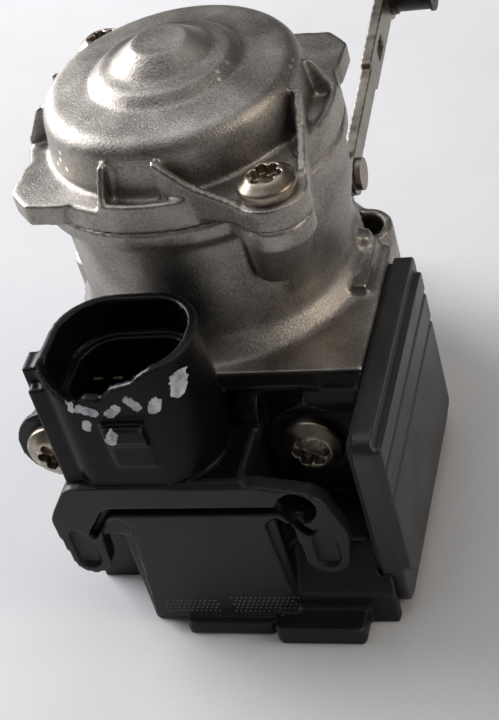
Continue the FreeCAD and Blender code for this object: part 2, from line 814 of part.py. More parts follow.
def screw_wells():
    x, z = FRONT_SCREWS[0]
    seat = COVER_FACE_Y - COVER_FLANGE_T
    back_of_plate = FRONT_Y + PLATE_T
    round_well = round_y(WELL_R, FRONT_Y - 1.0, seat, x, z)
    drop = block((11.4, x + WELL_R), (back_of_plate, seat), (WELL_FLOOR_Z, z))
    side = block((11.4, x), (back_of_plate, seat), (WELL_FLOOR_Z, BLOCK_TOP + 1.0))
    behind = round_well.common(block((0.0, 40.0), (back_of_plate, seat), (0.0, 60.0)))
    open_front = block((11.4, x + WELL_R), (FRONT_Y - 2.0, back_of_plate + 0.01), (30.7, BLOCK_TOP + 1.0))
    return [behind, drop, side, open_front]


def collar(x, z):
    seat = COVER_FACE_Y - COVER_FLANGE_T
    return round_y(COLLAR_R, seat - COLLAR_L, seat, x, z)


def front_cover():
    parts = cover_flange()
    parts.append(right_shoulder())
    parts.append(block((-11.0, 14.4), (FRONT_Y + 1.0, COVER_FACE_Y - 1.0), (0.0, 27.4)))
    parts.append(block((COVER_LEFT, -10.0), (LEFT_BODY_Y, COVER_FACE_Y - 1.0), (0.0, 16.0)))
    parts += socket_tower()
    parts.append(latch_ramp())
    parts += cover_feet()
    cover = join(parts)
    cover = cover.cut(screw_wells())
    collars = [collar(x, z) for x, z in FRONT_SCREWS]
    cover = join([cover, tongue_plate()] + collars)
    cuts = [tongue_recess(), ear_recess(-19.6, -15.8), ear_recess(19.6, 23.2)]
    cuts += socket_hollow()
    cuts += [broken_edge(), board_bay(), connector_terminals(), front_cover_seal()]
    for x, z in FRONT_SCREWS:
        cuts.append(round_y(FRONT_SCREW_R + EASY_GAP, FRONT_Y, COVER_FACE_Y + 1.0, x, z))
    return cover.cut(cuts)


def front_seal_loop(inset):
    left = COVER_LEFT + SEAL_MARGIN + inset
    right = SIDE_COVER_X - BAY_DEPTH - 0.5 - inset
    low = SEAL_MARGIN + inset
    high = BLOCK_TOP - SEAL_MARGIN - inset
    radius = 3.0 - inset
    corners = [(left, low, radius), (right, low, radius), (right, high, radius), (left, high, radius)]
    return slab(corners, on_xz(COVER_FACE_Y - SEAL_T), Y_AXIS * SEAL_T)


def front_cover_seal():
    return front_seal_loop(0.0).cut(front_seal_loop(SEAL_W))


def front_cover_screws():
    screws = []
    for x, z in FRONT_SCREWS:
        piece = screw(FRONT_SCREW_R, FRONT_SCREW_GRIP, FRONT_SCREW_HEAD_R, FRONT_SCREW_HEAD_H)
        piece.rotate(ORIGIN, X_AXIS, 90.0)
        piece.translate(Vector(x, COVER_FACE_Y - COVER_FLANGE_T - COLLAR_L, z))
        screws.append(piece)
    return Part.makeCompound(screws)


# Electrical parts

def connector_terminals():
    blades = []
    middle = (SOCKET_LEFT + SOCKET_RIGHT) / 2
    for index in range(BLADE_COUNT):
        x = middle + (index - (BLADE_COUNT - 1) / 2) * BLADE_PITCH
        low = BLADE_LOW_Z + index * BLADE_LEVEL
        thick = (BLADE_Y - BLADE_T / 2, BLADE_Y + BLADE_T / 2)
        upright = block((x - BLADE_W / 2, x + BLADE_W / 2), thick, (low, BLADE_TOP))
        run = block((x - BLADE_W / 2, board_face()), thick, (low, low + 1.2))
        blades.append(join([upright, run]))
    return Part.makeCompound(blades)


def bay_corners(gap):
    # The bay is tall behind the front cover's joint and low under the screw well, where the terminals arrive.
    front = SIDE_FRONT + BAY_FRONT_WALL + gap
    back = SIDE_BACK - BAY_WALL - gap
    low = SIDE_BOTTOM + BAY_WALL + gap
    step_y = COVER_FACE_Y - SEAL_T - 0.6 + gap
    step_z = WELL_FLOOR_Z - 1.5 - gap
    high = BLOCK_TOP - BAY_WALL - gap
    return [
        (front, low, 1.0),
        (back, low, 1.0),
        (back, high, 1.0),
        (step_y, high, 1.0),
        (step_y, step_z, 0.0),
        (front, step_z, 1.0),
    ]


def board_bay():
    return slab(bay_corners(0.0), on_yz(SIDE_COVER_X - BAY_DEPTH), X_AXIS * (BAY_DEPTH + 1.0))


def board_face():
    return SIDE_COVER_X - BAY_DEPTH + 1.6


def circuit_board():
    return slab(bay_corners(EASY_GAP), on_yz(board_face()), X_AXIS * BOARD_T)


def side_seal_loop(inset):
    front = SIDE_FRONT + SIDE_SEAL_MARGIN + inset
    back = SIDE_BACK - SIDE_SEAL_MARGIN - inset
    low = SIDE_BOTTOM + SIDE_SEAL_MARGIN + inset
    high = BLOCK_TOP - SIDE_SEAL_MARGIN - inset
    corners = [(front, low, 1.0), (back, low, 1.0), (back, high, 1.0), (front, high, 1.0)]
    return slab(corners, on_yz(BLOCK_RIGHT), X_AXIS * (SIDE_COVER_X - BLOCK_RIGHT))


def side_cover_seal():
    return side_seal_loop(0.0).cut(side_seal_loop(SEAL_W))


def side_cover():
    outline = [
        (SIDE_FRONT, SIDE_BOTTOM, SIDE_CORNER_R),
        (SIDE_BACK, SIDE_BOTTOM, 1.5),
        (SIDE_BACK, BLOCK_TOP, 1.5),
        (SIDE_FRONT, BLOCK_TOP, SIDE_CORNER_R),
    ]
    plate = slab(outline, on_yz(SIDE_COVER_X), X_AXIS * SIDE_COVER_T)
    panel = [
        (SIDE_FRONT + 0.4, SIDE_BOTTOM + SIDE_MARGIN + 4.0, 1.0),
        (SIDE_FRONT + 4.0, SIDE_BOTTOM + SIDE_MARGIN, 2.0),
        (SIDE_BACK - 2.2, SIDE_BOTTOM + SIDE_MARGIN, 1.5),
        (SIDE_BACK - 2.2, BLOCK_TOP - 1.6, 1.0),
        (SIDE_FRONT + 0.4, BLOCK_TOP - 1.6, 1.0),
    ]
    raised = slab(panel, on_yz(SIDE_COVER_X + 1.0), X_AXIS * (SIDE_COVER_T + SIDE_PANEL_T - 1.0))
    cover = join([plate, raised])
    outer = SIDE_COVER_X + SIDE_COVER_T + SIDE_PANEL_T
    grooves = []
    for low, high, depth in ((29.4, 30.6, 0.5), (23.6, 24.6, 0.5)):
        grooves.append(block((outer - depth, outer + 1.0), (SIDE_FRONT - 1.0, SIDE_BACK + 1.0), (low, high)))
    return cover.cut(grooves)


# Motor parts inside the can

def motor_yoke():
    outer = CAN_BORE_R - SOFT_GAP
    ring = round_z(outer, CORE_BOTTOM - 3.0, PART_Z - SPIGOT_H - SOFT_GAP)
    return ring.cut(round_z(outer - YOKE_T, 0.0, TOTAL_H))


def motor_magnets():
    outer = CAN_BORE_R - SOFT_GAP - YOKE_T
    section = [
        (outer - MAGNET_T, CORE_BOTTOM - 1.0, 0.0),
        (outer, CORE_BOTTOM - 1.0, 0.0),
        (outer, CORE_TOP + 1.0, 0.0),
        (outer - MAGNET_T, CORE_TOP + 1.0, 0.0),
    ]
    shell = spun(turned(section, MAGNET_SPAN), -MAGNET_SPAN / 2)
    return Part.makeCompound(twice(shell))


def core_radius():
    return CAN_BORE_R - SOFT_GAP - YOKE_T - MAGNET_T - AIR_GAP


def rotor_core():
    radius = core_radius()
    core = round_z(radius, CORE_BOTTOM, CORE_TOP)
    slots = []
    for index in range(CORE_SLOTS):
        slot = block((radius - SLOT_DEPTH, radius + 1.0), (-SLOT_W / 2, SLOT_W / 2), (CORE_BOTTOM - 1.0, CORE_TOP + 1.0))
        slots.append(spun(slot, index * 360.0 / CORE_SLOTS))
    slots.append(round_z(SHAFT_R, CORE_BOTTOM - 1.0, CORE_TOP + 1.0))
    return core.cut(slots)


def rotor_winding():
    radius = core_radius() - 1.0
    rings = []
    for low in (CORE_BOTTOM - COIL_H, CORE_TOP):
        ring = round_z(radius, low, low + COIL_H).cut(round_z(SHAFT_R + 2.4, low - 1.0, low + COIL_H + 1.0))
        rings.append(ring)
    return Part.makeCompound(rings)


def commutator():
    low = HOLDER_Z + HOLDER_T - 0.4
    drum = round_z(COMMUTATOR_R, low, low + COMMUTATOR_L)
    slots = [round_z(SHAFT_R, low - 1.0, low + COMMUTATOR_L + 1.0)]
    for index in range(CORE_SLOTS):
        slot = block((COMMUTATOR_R - 0.6, COMMUTATOR_R + 1.0), (-0.25, 0.25), (low - 1.0, low + COMMUTATOR_L + 1.0))
        slots.append(spun(slot, (index + 0.5) * 360.0 / CORE_SLOTS))
    return drum.cut(slots)


def brush_holder():
    outer = CAN_BORE_R - SPIGOT_T - SOFT_GAP
    disc = round_z(outer, HOLDER_Z, HOLDER_Z + HOLDER_T)
    disc = disc.cut(round_z(COMMUTATOR_R + 1.2, HOLDER_Z - 1.0, HOLDER_Z + HOLDER_T + 1.0))
    guides = []
    for azimuth in (0.0, 180.0):
        start = COMMUTATOR_R + 1.6
        guide = block((start, start + BRUSH_L), (-BRUSH_W / 2 - 1.0, BRUSH_W / 2 + 1.0), (HOLDER_Z, HOLDER_Z + 5.4))
        guide = guide.cut(brush_block())
        guides.append(spun(guide, azimuth))
    return join([disc] + guides).cut(twice(brush_block()))


def brush_block():
    start = COMMUTATOR_R + 0.15
    low = HOLDER_Z + HOLDER_T
    return block((start, start + BRUSH_L), (-BRUSH_W / 2, BRUSH_W / 2), (low, low + 3.0))


def motor_brushes():
    return Part.makeCompound(twice(brush_block()))


def shaft_bearing(low):
    shell = round_z(BEARING_R, low, low + BEARING_W)
    bore = round_z(SHAFT_R + RUNNING_GAP, low - 1.0, low + BEARING_W + 1.0)
    groove = round_z(BEARING_R - 1.2, low + BEARING_W - 0.5, low + BEARING_W + 1.0)
    groove = groove.cut(round_z(SHAFT_R + 1.4, low, low + BEARING_W + 1.0))
    return shell.cut([bore, groove])


def top_bearing():
    return shaft_bearing(TOP_BEARING_Z)


def bottom_bearing():
    return shaft_bearing(CAVITY_FLOOR_Z - BEARING_W)


def wave_washer():
    low = TOP_BEARING_Z + BEARING_W
    ring = round_z(BEARING_R - 0.3, low, low + 0.7)
    return ring.cut(round_z(SHAFT_R + 1.8, low - 1.0, low + 2.0))


def worm_end_bush():
    ring = round_z(END_BUSH_R, FLOOR_T, FLOOR_T + END_BUSH_L)
    return ring.cut(round_z(SHAFT_R + RUNNING_GAP, FLOOR_T + 0.6, FLOOR_T + END_BUSH_L + 1.0))


def motor_shaft():
    return round_z(SHAFT_R, SHAFT_BOTTOM, TOP_BEARING_Z + BEARING_W - 0.2)


# Worm and wheel

def worm():
    pitch = math.pi * MODULE
    low = DRIVE_Z - WORM_LENGTH / 2
    root_r = WORM_PITCH_R - 1.2 * MODULE
    tip_r = WORM_PITCH_R + MODULE
    flank = math.tan(math.radians(PRESSURE_DEG))
    root_half = TOOTH_T / 2 + flank * (WORM_PITCH_R - root_r + 0.2)
    tip_half = TOOTH_T / 2 - flank * MODULE
    turns = math.floor(WORM_LENGTH / pitch - 0.8)
    # A gap of the thread faces the wheel at mid height, where a wheel tooth stands.
    turns_below = round(turns / 2 - 0.75) + 0.75
    start = DRIVE_Z - turns_below * pitch
    helix = Part.makeHelix(pitch, turns * pitch, WORM_PITCH_R)
    section = Part.makePolygon([
        Vector(root_r - 0.2, 0, -root_half),
        Vector(tip_r, 0, -tip_half),
        Vector(tip_r, 0, tip_half),
        Vector(root_r - 0.2, 0, root_half),
        Vector(root_r - 0.2, 0, -root_half),
    ])
    thread = Part.Wire(helix.Edges).makePipeShell([section], True, True)
    thread.translate(Vector(0, 0, start))
    core = round_z(root_r, low, low + WORM_LENGTH)
    body = core.fuse(thread)
    return body.cut(round_z(SHAFT_R, low - 1.0, low + WORM_LENGTH + 1.0))


def wheel_tooth():
    pitch_r = MODULE * WHEEL_TEETH / 2
    flank = math.tan(math.radians(PRESSURE_DEG))
    root_r = pitch_r - 1.4 * MODULE
    lead = math.degrees(math.atan(MODULE / (2 * WORM_PITCH_R)))
    twist = math.degrees(WHEEL_FACE * math.tan(math.radians(lead)) / pitch_r)
    section = [
        (-root_r, -(TOOTH_T / 2 + flank * 1.4 * MODULE)),
        (-WHEEL_TIP_R, -(TOOTH_T / 2 - flank * MODULE)),
        (-WHEEL_TIP_R, TOOTH_T / 2 - flank * MODULE),
        (-root_r, TOOTH_T / 2 + flank * 1.4 * MODULE),
    ]
    wires = []
    for side in (-1, 1):
        points = [Vector(side * WHEEL_FACE / 2, y, z) for y, z in section]
        wire = Part.makePolygon(points + [points[0]])
        wire.rotate(ORIGIN, X_AXIS, side * twist / 2)
        wires.append(wire)
    return Part.makeLoft(wires, True, True)


def worm_wheel():
    root_r = MODULE * WHEEL_TEETH / 2 - 1.3 * MODULE
    rim = Part.makeCylinder(root_r, WHEEL_FACE, Vector(-WHEEL_FACE / 2, 0, 0), X_AXIS)
    hub = Part.makeCylinder(WHEEL_HUB_R, WHEEL_HUB_L, Vector(-WHEEL_HUB_L / 2, 0, 0), X_AXIS)
    parts = [rim, hub]
    tooth = wheel_tooth()
    for index in range(WHEEL_TEETH):
        copy = tooth.copy()
        copy.rotate(ORIGIN, X_AXIS, index * 360.0 / WHEEL_TEETH)
        parts.append(copy)
    wheel = join(parts)
    wheel = wheel.cut(Part.makeCylinder(OUT_SHAFT_R, WHEEL_HUB_L + 2, Vector(-WHEEL_HUB_L / 2 - 1, 0, 0), X_AXIS))
    wheel.translate(Vector(0, OUT_Y, DRIVE_Z))
    return wheel


# Output shaft, crank and link rod

def output_shaft():
    left = CHAMBER_LEFT
    long_part = round_x(OUT_SHAFT_R, left, CRANK_X, OUT_Y, DRIVE_Z)
    end = round_x(OUT_END_R, CRANK_X, CRANK_X + CRANK_T + 0.8, OUT_Y, DRIVE_Z)
    rivet = round_x(OUT_END_R + 1.0, CRANK_X + CRANK_T, CRANK_X + CRANK_T + 0.8, OUT_Y, DRIVE_Z)
    return join([long_part, end, rivet])


def shaft_bushes():
    outer = OUT_SHAFT_R + OUT_BUSH_T
    inner = OUT_SHAFT_R + RUNNING_GAP
    rings = []
    for low, high in ((CHAMBER_LEFT, CHAMBER_LEFT + 4.0), (CHAMBER_RIGHT, CHAMBER_END)):
        ring = round_x(outer, low, high, OUT_Y, DRIVE_Z)
        rings.append(ring.cut(round_x(inner, low - 1.0, high + 1.0, OUT_Y, DRIVE_Z)))
    return Part.makeCompound(rings)


def shaft_seal():
    ring = round_x(OUT_SHAFT_R + OUT_BUSH_T, CHAMBER_END, CHAMBER_END + SEAL_T, OUT_Y, DRIVE_Z)
    return ring.cut(round_x(OUT_SHAFT_R + SOFT_GAP, 0.0, CRANK_X, OUT_Y, DRIVE_Z))


def sensor_magnet():
    return round_x(MAGNET_R, CHAMBER_LEFT - MAGNET_DISC_T, CHAMBER_LEFT, OUT_Y, DRIVE_Z)


def crank_lever():
    hub = round_x(CRANK_HUB_R, CRANK_X, CRANK_X + CRANK_T, OUT_Y, DRIVE_Z)
    eye = round_x(CRANK_EYE_R, CRANK_X, CRANK_X + CRANK_T, CRANK_PIN_Y, CRANK_PIN_Z)
    arm = Vector(CRANK_PIN_Y - OUT_Y, CRANK_PIN_Z - DRIVE_Z, 0)
    across = Vector(-arm.y, arm.x, 0).normalize()
    hub_point = Vector(OUT_Y, DRIVE_Z, 0)
    eye_point = Vector(CRANK_PIN_Y, CRANK_PIN_Z, 0)
    sides = [
        hub_point + across * CRANK_HUB_R,
        eye_point + across * CRANK_EYE_R,
        eye_point - across * CRANK_EYE_R,
        hub_point - across * CRANK_HUB_R,
    ]
    web = slab([(p.x, p.y, 0.0) for p in sides], on_yz(CRANK_X), X_AXIS * CRANK_T)
    holes = [
        round_x(OUT_END_R, CRANK_X - 1.0, CRANK_X + CRANK_T + 1.0, OUT_Y, DRIVE_Z),
        round_x(PIN_R, CRANK_X - 1.0, CRANK_X + CRANK_T + 1.0, CRANK_PIN_Y, CRANK_PIN_Z),
    ]
    return join([hub, eye, web]).cut(holes)


def crank_pin():
    end = ROD_X + ROD_T + WASHER_T + 0.2
    body = round_x(PIN_R, CRANK_X, end, CRANK_PIN_Y, CRANK_PIN_Z)
    tail = round_x(PIN_HEAD_R - 0.4, end, end + PIN_HEAD_T, CRANK_PIN_Y, CRANK_PIN_Z)
    return join([body, tail])


def pin_washer():
    low = ROD_X + ROD_T + 0.1
    ring = round_x(PIN_HEAD_R + 0.4, low, low + WASHER_T, CRANK_PIN_Y, CRANK_PIN_Z)
    return ring.cut(round_x(PIN_R, low - 1.0, low + 2.0, CRANK_PIN_Y, CRANK_PIN_Z))


def along_rod(shape):
    placed = shape.copy()
    placed.rotate(ORIGIN, X_AXIS, ROD_RISE_DEG)
    placed.translate(Vector(0, CRANK_PIN_Y, CRANK_PIN_Z))
    return placed


def link_rod():
    near = slab(
        [
            (0.0, -ROD_H / 2, 0.0),
            (ROD_LAP + 3.0, -ROD_H / 2, 0.0),
            (ROD_LAP + 3.0, ROD_H / 2, 0.0),
            (0.0, ROD_H / 2, 0.0),
        ],
        on_yz(ROD_X),
        X_AXIS * ROD_T,
    )
    far = slab(
        [
            (ROD_LAP, -ROD_WIDE_H / 2, 1.0),
            (ROD_LENGTH, -ROD_WIDE_H / 2, 0.0),
            (ROD_LENGTH, ROD_WIDE_H / 2, 0.0),
            (ROD_LAP, ROD_WIDE_H / 2, 1.0),
        ],
        on_yz(ROD_X),
        X_AXIS * ROD_T,
    )
    eyes = [
        round_x(CRANK_EYE_R, ROD_X, ROD_X + ROD_T, 0.0, 0.0),
        round_x(ROD_EYE_R, ROD_X, ROD_X + ROD_T, ROD_LENGTH, 0.0),
    ]
    window_y = ROD_LAP + 6.0
    cuts = [
        round_x(PIN_R + RUNNING_GAP, ROD_X - 1.0, ROD_X + ROD_T + 1.0, 0.0, 0.0),
        round_x(ROD_BUSH_R, ROD_X - 1.0, ROD_X + ROD_T + 1.0, ROD_LENGTH, 0.0),
        block((ROD_X - 1.0, ROD_X + ROD_T + 1.0), (window_y, window_y + ROD_WINDOW_L),
              (-ROD_WINDOW_H / 2, ROD_WINDOW_H / 2)),
    ]
    return along_rod(join([near, far] + eyes).cut(cuts))


def rod_bush():
    end = ROD_X + ROD_T + ROD_BUSH_L
    barrel = round_x(ROD_BUSH_R, ROD_X, end, ROD_LENGTH, 0.0)
    rim = round_x(ROD_BUSH_RIM_R, end - ROD_BUSH_RIM_T, end, ROD_LENGTH, 0.0)
    shoulder = round_x(ROD_BUSH_RIM_R, ROD_X + ROD_T, ROD_X + ROD_T + 1.0, ROD_LENGTH, 0.0)
    bore = round_x(ROD_BORE_R, ROD_X - 1.0, end + 1.0, ROD_LENGTH, 0.0)
    return along_rod(join([barrel, rim, shoulder]).cut(bore))


# Gear cover with the position sensor

def gear_cover():
    outer = CHAMBER_LEFT - GEAR_COVER_T
    disc = round_x(CASE_R, outer, CHAMBER_LEFT, OUT_Y, DRIVE_Z)
    dome = round_x(SENSOR_DOME_R, outer - SENSOR_DOME_H + GEAR_COVER_T, CHAMBER_LEFT, OUT_Y, DRIVE_Z)
    seat = round_x(OUT_SHAFT_R + OUT_BUSH_T + CHAMBER_WALL, CHAMBER_LEFT, CHAMBER_LEFT + 4.0, OUT_Y, DRIVE_Z)
    lugs = [round_x(GEAR_COVER_LUG_R, outer, CHAMBER_LEFT, y, z) for y, z in gear_screw_places()]
    cover = join([disc, dome, seat] + lugs)
    cuts = [
        round_x(OUT_SHAFT_R + OUT_BUSH_T, CHAMBER_LEFT, CHAMBER_LEFT + 5.0, OUT_Y, DRIVE_Z),
        round_x(MAGNET_R + 0.5, CHAMBER_LEFT - MAGNET_DISC_T - 0.5, CHAMBER_LEFT + 1.0, OUT_Y, DRIVE_Z),
        position_sensor(),
    ]
    for y, z in gear_screw_places():
        cuts.append(round_x(GEAR_SCREW_R + EASY_GAP, outer - 1.0, CHAMBER_LEFT + 1.0, y, z))
    return cover.cut(cuts)


def position_sensor():
    high = CHAMBER_LEFT - MAGNET_DISC_T - 0.5
    return block((high - 1.2, high), (OUT_Y - 2.5, OUT_Y + 2.5), (DRIVE_Z - 2.5, DRIVE_Z + 2.5))


def gear_cover_screws():
    screws = []
    for y, z in gear_screw_places():
        piece = screw(GEAR_SCREW_R, GEAR_SCREW_GRIP, GEAR_SCREW_HEAD_R, GEAR_SCREW_HEAD_H)
        piece.rotate(ORIGIN, Y_AXIS, -90.0)
        piece.translate(Vector(CHAMBER_LEFT - GEAR_COVER_T, y, z))
        screws.append(piece)
    return Part.makeCompound(screws)


NODES = {
    "motor_cap": motor_cap,
    "cap_seal": lambda: seal_ring(0.0),
    "cap_screws": cap_screws,
    "gear_housing": gear_housing,
    "front_cover": front_cover,
    "front_cover_seal": front_cover_seal,
    "front_cover_screws": front_cover_screws,
    "connector_terminals": connector_terminals,
    "side_cover": side_cover,
    "side_cover_seal": side_cover_seal,
    "circuit_board": circuit_board,
    "motor_yoke": motor_yoke,
    "motor_magnets": motor_magnets,
    "rotor_core": rotor_core,
    "rotor_winding": rotor_winding,
    "commutator": commutator,
    "brush_holder": brush_holder,
    "motor_brushes": motor_brushes,
    "top_bearing": top_bearing,
    "bottom_bearing": bottom_bearing,
    "wave_washer": wave_washer,
    "worm_end_bush": worm_end_bush,
    "motor_shaft": motor_shaft,
    "worm": worm,
    "worm_wheel": worm_wheel,
    "output_shaft": output_shaft,
    "shaft_bushes": shaft_bushes,
    "shaft_seal": shaft_seal,
    "sensor_magnet": sensor_magnet,
    "crank_lever": crank_lever,
    "crank_pin": crank_pin,
    "pin_washer": pin_washer,
    "link_rod": link_rod,
    "rod_bush": rod_bush,
    "gear_cover": gear_cover,
    "position_sensor": position_sensor,
    "gear_cover_screws": gear_cover_screws,
}


def main():
    os.makedirs("parts", exist_ok=True)
    for name, make in NODES.items():
        shape = make()
        shape.exportStep("parts/" + name + ".step")
        print(name, len(shape.Solids), shape.isValid(), round(shape.Volume, 1))


main()
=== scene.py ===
# %% [markdown]
# # Dressing an electric bypass actuator
# The solids of this actuator come from CAD: a domed aluminium casting, a black plastic socket cover, a gear
# block, a crank and a link rod. They could be shown as they are, but CAD edges are razor sharp and its skins
# are perfectly even. This lesson keeps every size and place and gives each piece the skin of the real thing.

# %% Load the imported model
import json

import bmesh
import bpy
from mathutils import Matrix, Vector, noise
from mathutils.bvhtree import BVHTree

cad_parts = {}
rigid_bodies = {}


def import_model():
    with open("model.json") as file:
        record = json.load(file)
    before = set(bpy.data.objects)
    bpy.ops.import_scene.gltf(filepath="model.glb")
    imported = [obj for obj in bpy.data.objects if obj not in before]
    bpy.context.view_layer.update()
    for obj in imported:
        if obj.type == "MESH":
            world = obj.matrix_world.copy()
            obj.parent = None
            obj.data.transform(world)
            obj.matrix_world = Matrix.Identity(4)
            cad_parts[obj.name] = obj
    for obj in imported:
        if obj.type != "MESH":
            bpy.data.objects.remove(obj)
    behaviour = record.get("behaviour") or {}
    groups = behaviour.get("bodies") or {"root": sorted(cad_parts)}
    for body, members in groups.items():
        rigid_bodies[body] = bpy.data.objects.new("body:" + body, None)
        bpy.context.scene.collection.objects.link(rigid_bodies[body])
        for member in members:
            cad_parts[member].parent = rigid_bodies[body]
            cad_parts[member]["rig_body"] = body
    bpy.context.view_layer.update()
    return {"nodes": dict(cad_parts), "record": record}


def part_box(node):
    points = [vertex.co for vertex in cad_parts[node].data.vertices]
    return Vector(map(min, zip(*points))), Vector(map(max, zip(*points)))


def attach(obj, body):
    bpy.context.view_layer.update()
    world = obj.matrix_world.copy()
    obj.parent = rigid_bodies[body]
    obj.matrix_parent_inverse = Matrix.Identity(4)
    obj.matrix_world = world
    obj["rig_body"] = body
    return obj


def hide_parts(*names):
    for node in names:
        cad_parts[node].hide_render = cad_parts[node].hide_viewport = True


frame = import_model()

nodes = frame["nodes"]

MM = 0.001

# %% [markdown]
# ## The camera
# The photograph was taken from above, a little to the right, with the phone rolled so that the motor leans to
# the left. A camera could be aimed by eye, but a straight-on look needs the same distance as well as the same
# angle, because a near camera spreads the front and shrinks the back. The three axes below are the camera's
# own right, up and backward directions, worked out from corners of the block and rings of the cap.

# %% Place the camera
CAMERA_AT = Vector((94.6, -221.1, 209.7)) * MM
CAMERA_RIGHT = (0.9501, 0.2083, -0.2321)
CAMERA_UP = (0.0349, 0.6684, 0.7430)
CAMERA_BACK = (0.3099, -0.7140, 0.6278)
IMAGE_HEIGHT_PX = 720
FOCAL_PX = 1791.2
SENSOR_MM = 36.0

camera_data = bpy.data.cameras.new("camera")
camera_data.sensor_width = SENSOR_MM
camera_data.lens = SENSOR_MM * FOCAL_PX / IMAGE_HEIGHT_PX
camera_data.clip_start = 0.01
camera_data.clip_end = 20.0
camera = bpy.data.objects.new("camera", camera_data)
bpy.context.scene.collection.objects.link(camera)
turn = Matrix((CAMERA_RIGHT, CAMERA_UP, CAMERA_BACK)).transposed().to_4x4()
camera.matrix_world = Matrix.Translation(CAMERA_AT) @ turn
bpy.context.scene.camera = camera
print("lens mm:", round(camera_data.lens, 1))

# %% [markdown]
# ## Node helpers
# A material is a small graph. Writing each link by hand buries the idea of the finish under bookkeeping, so
# one helper adds a node with its settings and links, and one turns a colour as seen on a screen into the
# linear value that the renderer works with.

# %% Helpers for materials
def linear(code):
    channels = [int(code[i:i + 2], 16) / 255 for i in (1, 3, 5)]
    straight = [c / 12.92 if c <= 0.04045 else ((c + 0.055) / 1.055) ** 2.4 for c in channels]
    return (*straight, 1.0)


def add(tree, kind, inputs=None, **settings):
    made = tree.nodes.new(kind)
    for name, value in settings.items():
        setattr(made, name, value)
    for name, value in (inputs or {}).items():
        if isinstance(value, bpy.types.NodeSocket):
            tree.links.new(value, made.inputs[name])
        else:
            made.inputs[name].default_value = value
    return made


def per_metre(size_mm):
    return 1.0 / (size_mm * MM)


# %% [markdown]
# ## A skin with patches and grain
# No real surface has one colour. It has slow patches, centimetres wide, where it was handled or blasted a
# little more, and a fine grain that breaks up the highlights. Both could be painted, but noise in the piece's
# own coordinates needs no painting and holds its real size on every piece.

# %% Build a skin
def skin(name, dark, light, patch_mm, roughness, metallic, grain_mm, grain_height_mm, speckle=0.18):
    material = bpy.data.materials.new(name)
    material.use_nodes = True
    tree = material.node_tree
    tree.nodes.clear()
    place = add(tree, "ShaderNodeTexCoord").outputs["Object"]
    patches = add(tree, "ShaderNodeTexNoise", {"Vector": place, "Scale": per_metre(patch_mm), "Detail": 4.0})
    grain = add(tree, "ShaderNodeTexNoise", {"Vector": place, "Scale": per_metre(grain_mm), "Detail": 3.0,
                                             "Roughness": 0.6})
    spread = add(tree, "ShaderNodeMapRange", {"Value": patches.outputs["Fac"], "From Min": 0.32,
                                              "From Max": 0.68})
    fine = add(tree, "ShaderNodeMapRange", {"Value": grain.outputs["Fac"], "From Min": 0.3, "From Max": 0.7,
                                            "To Min": -speckle, "To Max": speckle})
    both = add(tree, "ShaderNodeMath", {0: spread.outputs["Result"], 1: fine.outputs["Result"]},
               operation="ADD")
    colour = add(tree, "ShaderNodeMix", {"Factor": both.outputs[0], 6: linear(dark), 7: linear(light)},
                 data_type="RGBA")
    gloss = add(tree, "ShaderNodeMapRange", {"Value": patches.outputs["Fac"], "From Min": 0.3, "From Max": 0.7,
                                             "To Min": roughness[0], "To Max": roughness[1]})
    bump = add(tree, "ShaderNodeBump", {"Height": grain.outputs["Fac"], "Strength": 1.0,
                                        "Distance": grain_height_mm * MM})
    shader = add(tree, "ShaderNodeBsdfPrincipled", {"Base Color": colour.outputs[2], "Metallic": metallic,
                                                    "Roughness": gloss.outputs["Result"],
                                                    "Normal": bump.outputs["Normal"]})
    add(tree, "ShaderNodeOutputMaterial", {"Surface": shader.outputs["BSDF"]})
    return {"material": material, "tree": tree, "place": place, "patches": patches, "grain": grain,
            "colour": colour, "gloss": gloss, "bump": bump, "shader": shader}


# Lightens convex edges. On the metals this is wear; on the nylons the grey edges are partly scrape wear and
# partly painted highlight, light catching the edges painted into the colour.
def wear_and_highlight_edges(made, bare, start, end, amount, bare_roughness):
    tree = made["tree"]
    convex = add(tree, "ShaderNodeNewGeometry").outputs["Pointiness"]
    ridge = add(tree, "ShaderNodeMapRange", {"Value": convex, "From Min": start, "From Max": end,
                                             "To Max": amount})
    broken = add(tree, "ShaderNodeMath", {0: ridge.outputs["Result"], 1: made["patches"].outputs["Fac"]},
                 operation="MULTIPLY")
    doubled = add(tree, "ShaderNodeMath", {0: broken.outputs[0], 1: 2.0}, operation="MULTIPLY", use_clamp=True)
    colour = add(tree, "ShaderNodeMix", {"Factor": doubled.outputs[0], 6: made["colour"].outputs[2],
                                         7: linear(bare)}, data_type="RGBA")
    gloss = add(tree, "ShaderNodeMix", {"Factor": doubled.outputs[0], 2: made["gloss"].outputs["Result"],
                                        3: bare_roughness})
    tree.links.new(colour.outputs[2], made["shader"].inputs["Base Color"])
    tree.links.new(gloss.outputs[0], made["shader"].inputs["Roughness"])
    made["colour"] = colour
    return made


# %% [markdown]
# ## Shot-blasted die-cast aluminium
# The cap and the housing are poured in a steel mould and then blasted with fine shot. The eye sees a warm
# grey, a sparkle of tiny dents about a third of a millimetre across, and brighter, smoother metal where edges
# rubbed on other parts. Where the two halves of a casting meet, a scraped line stays bright.

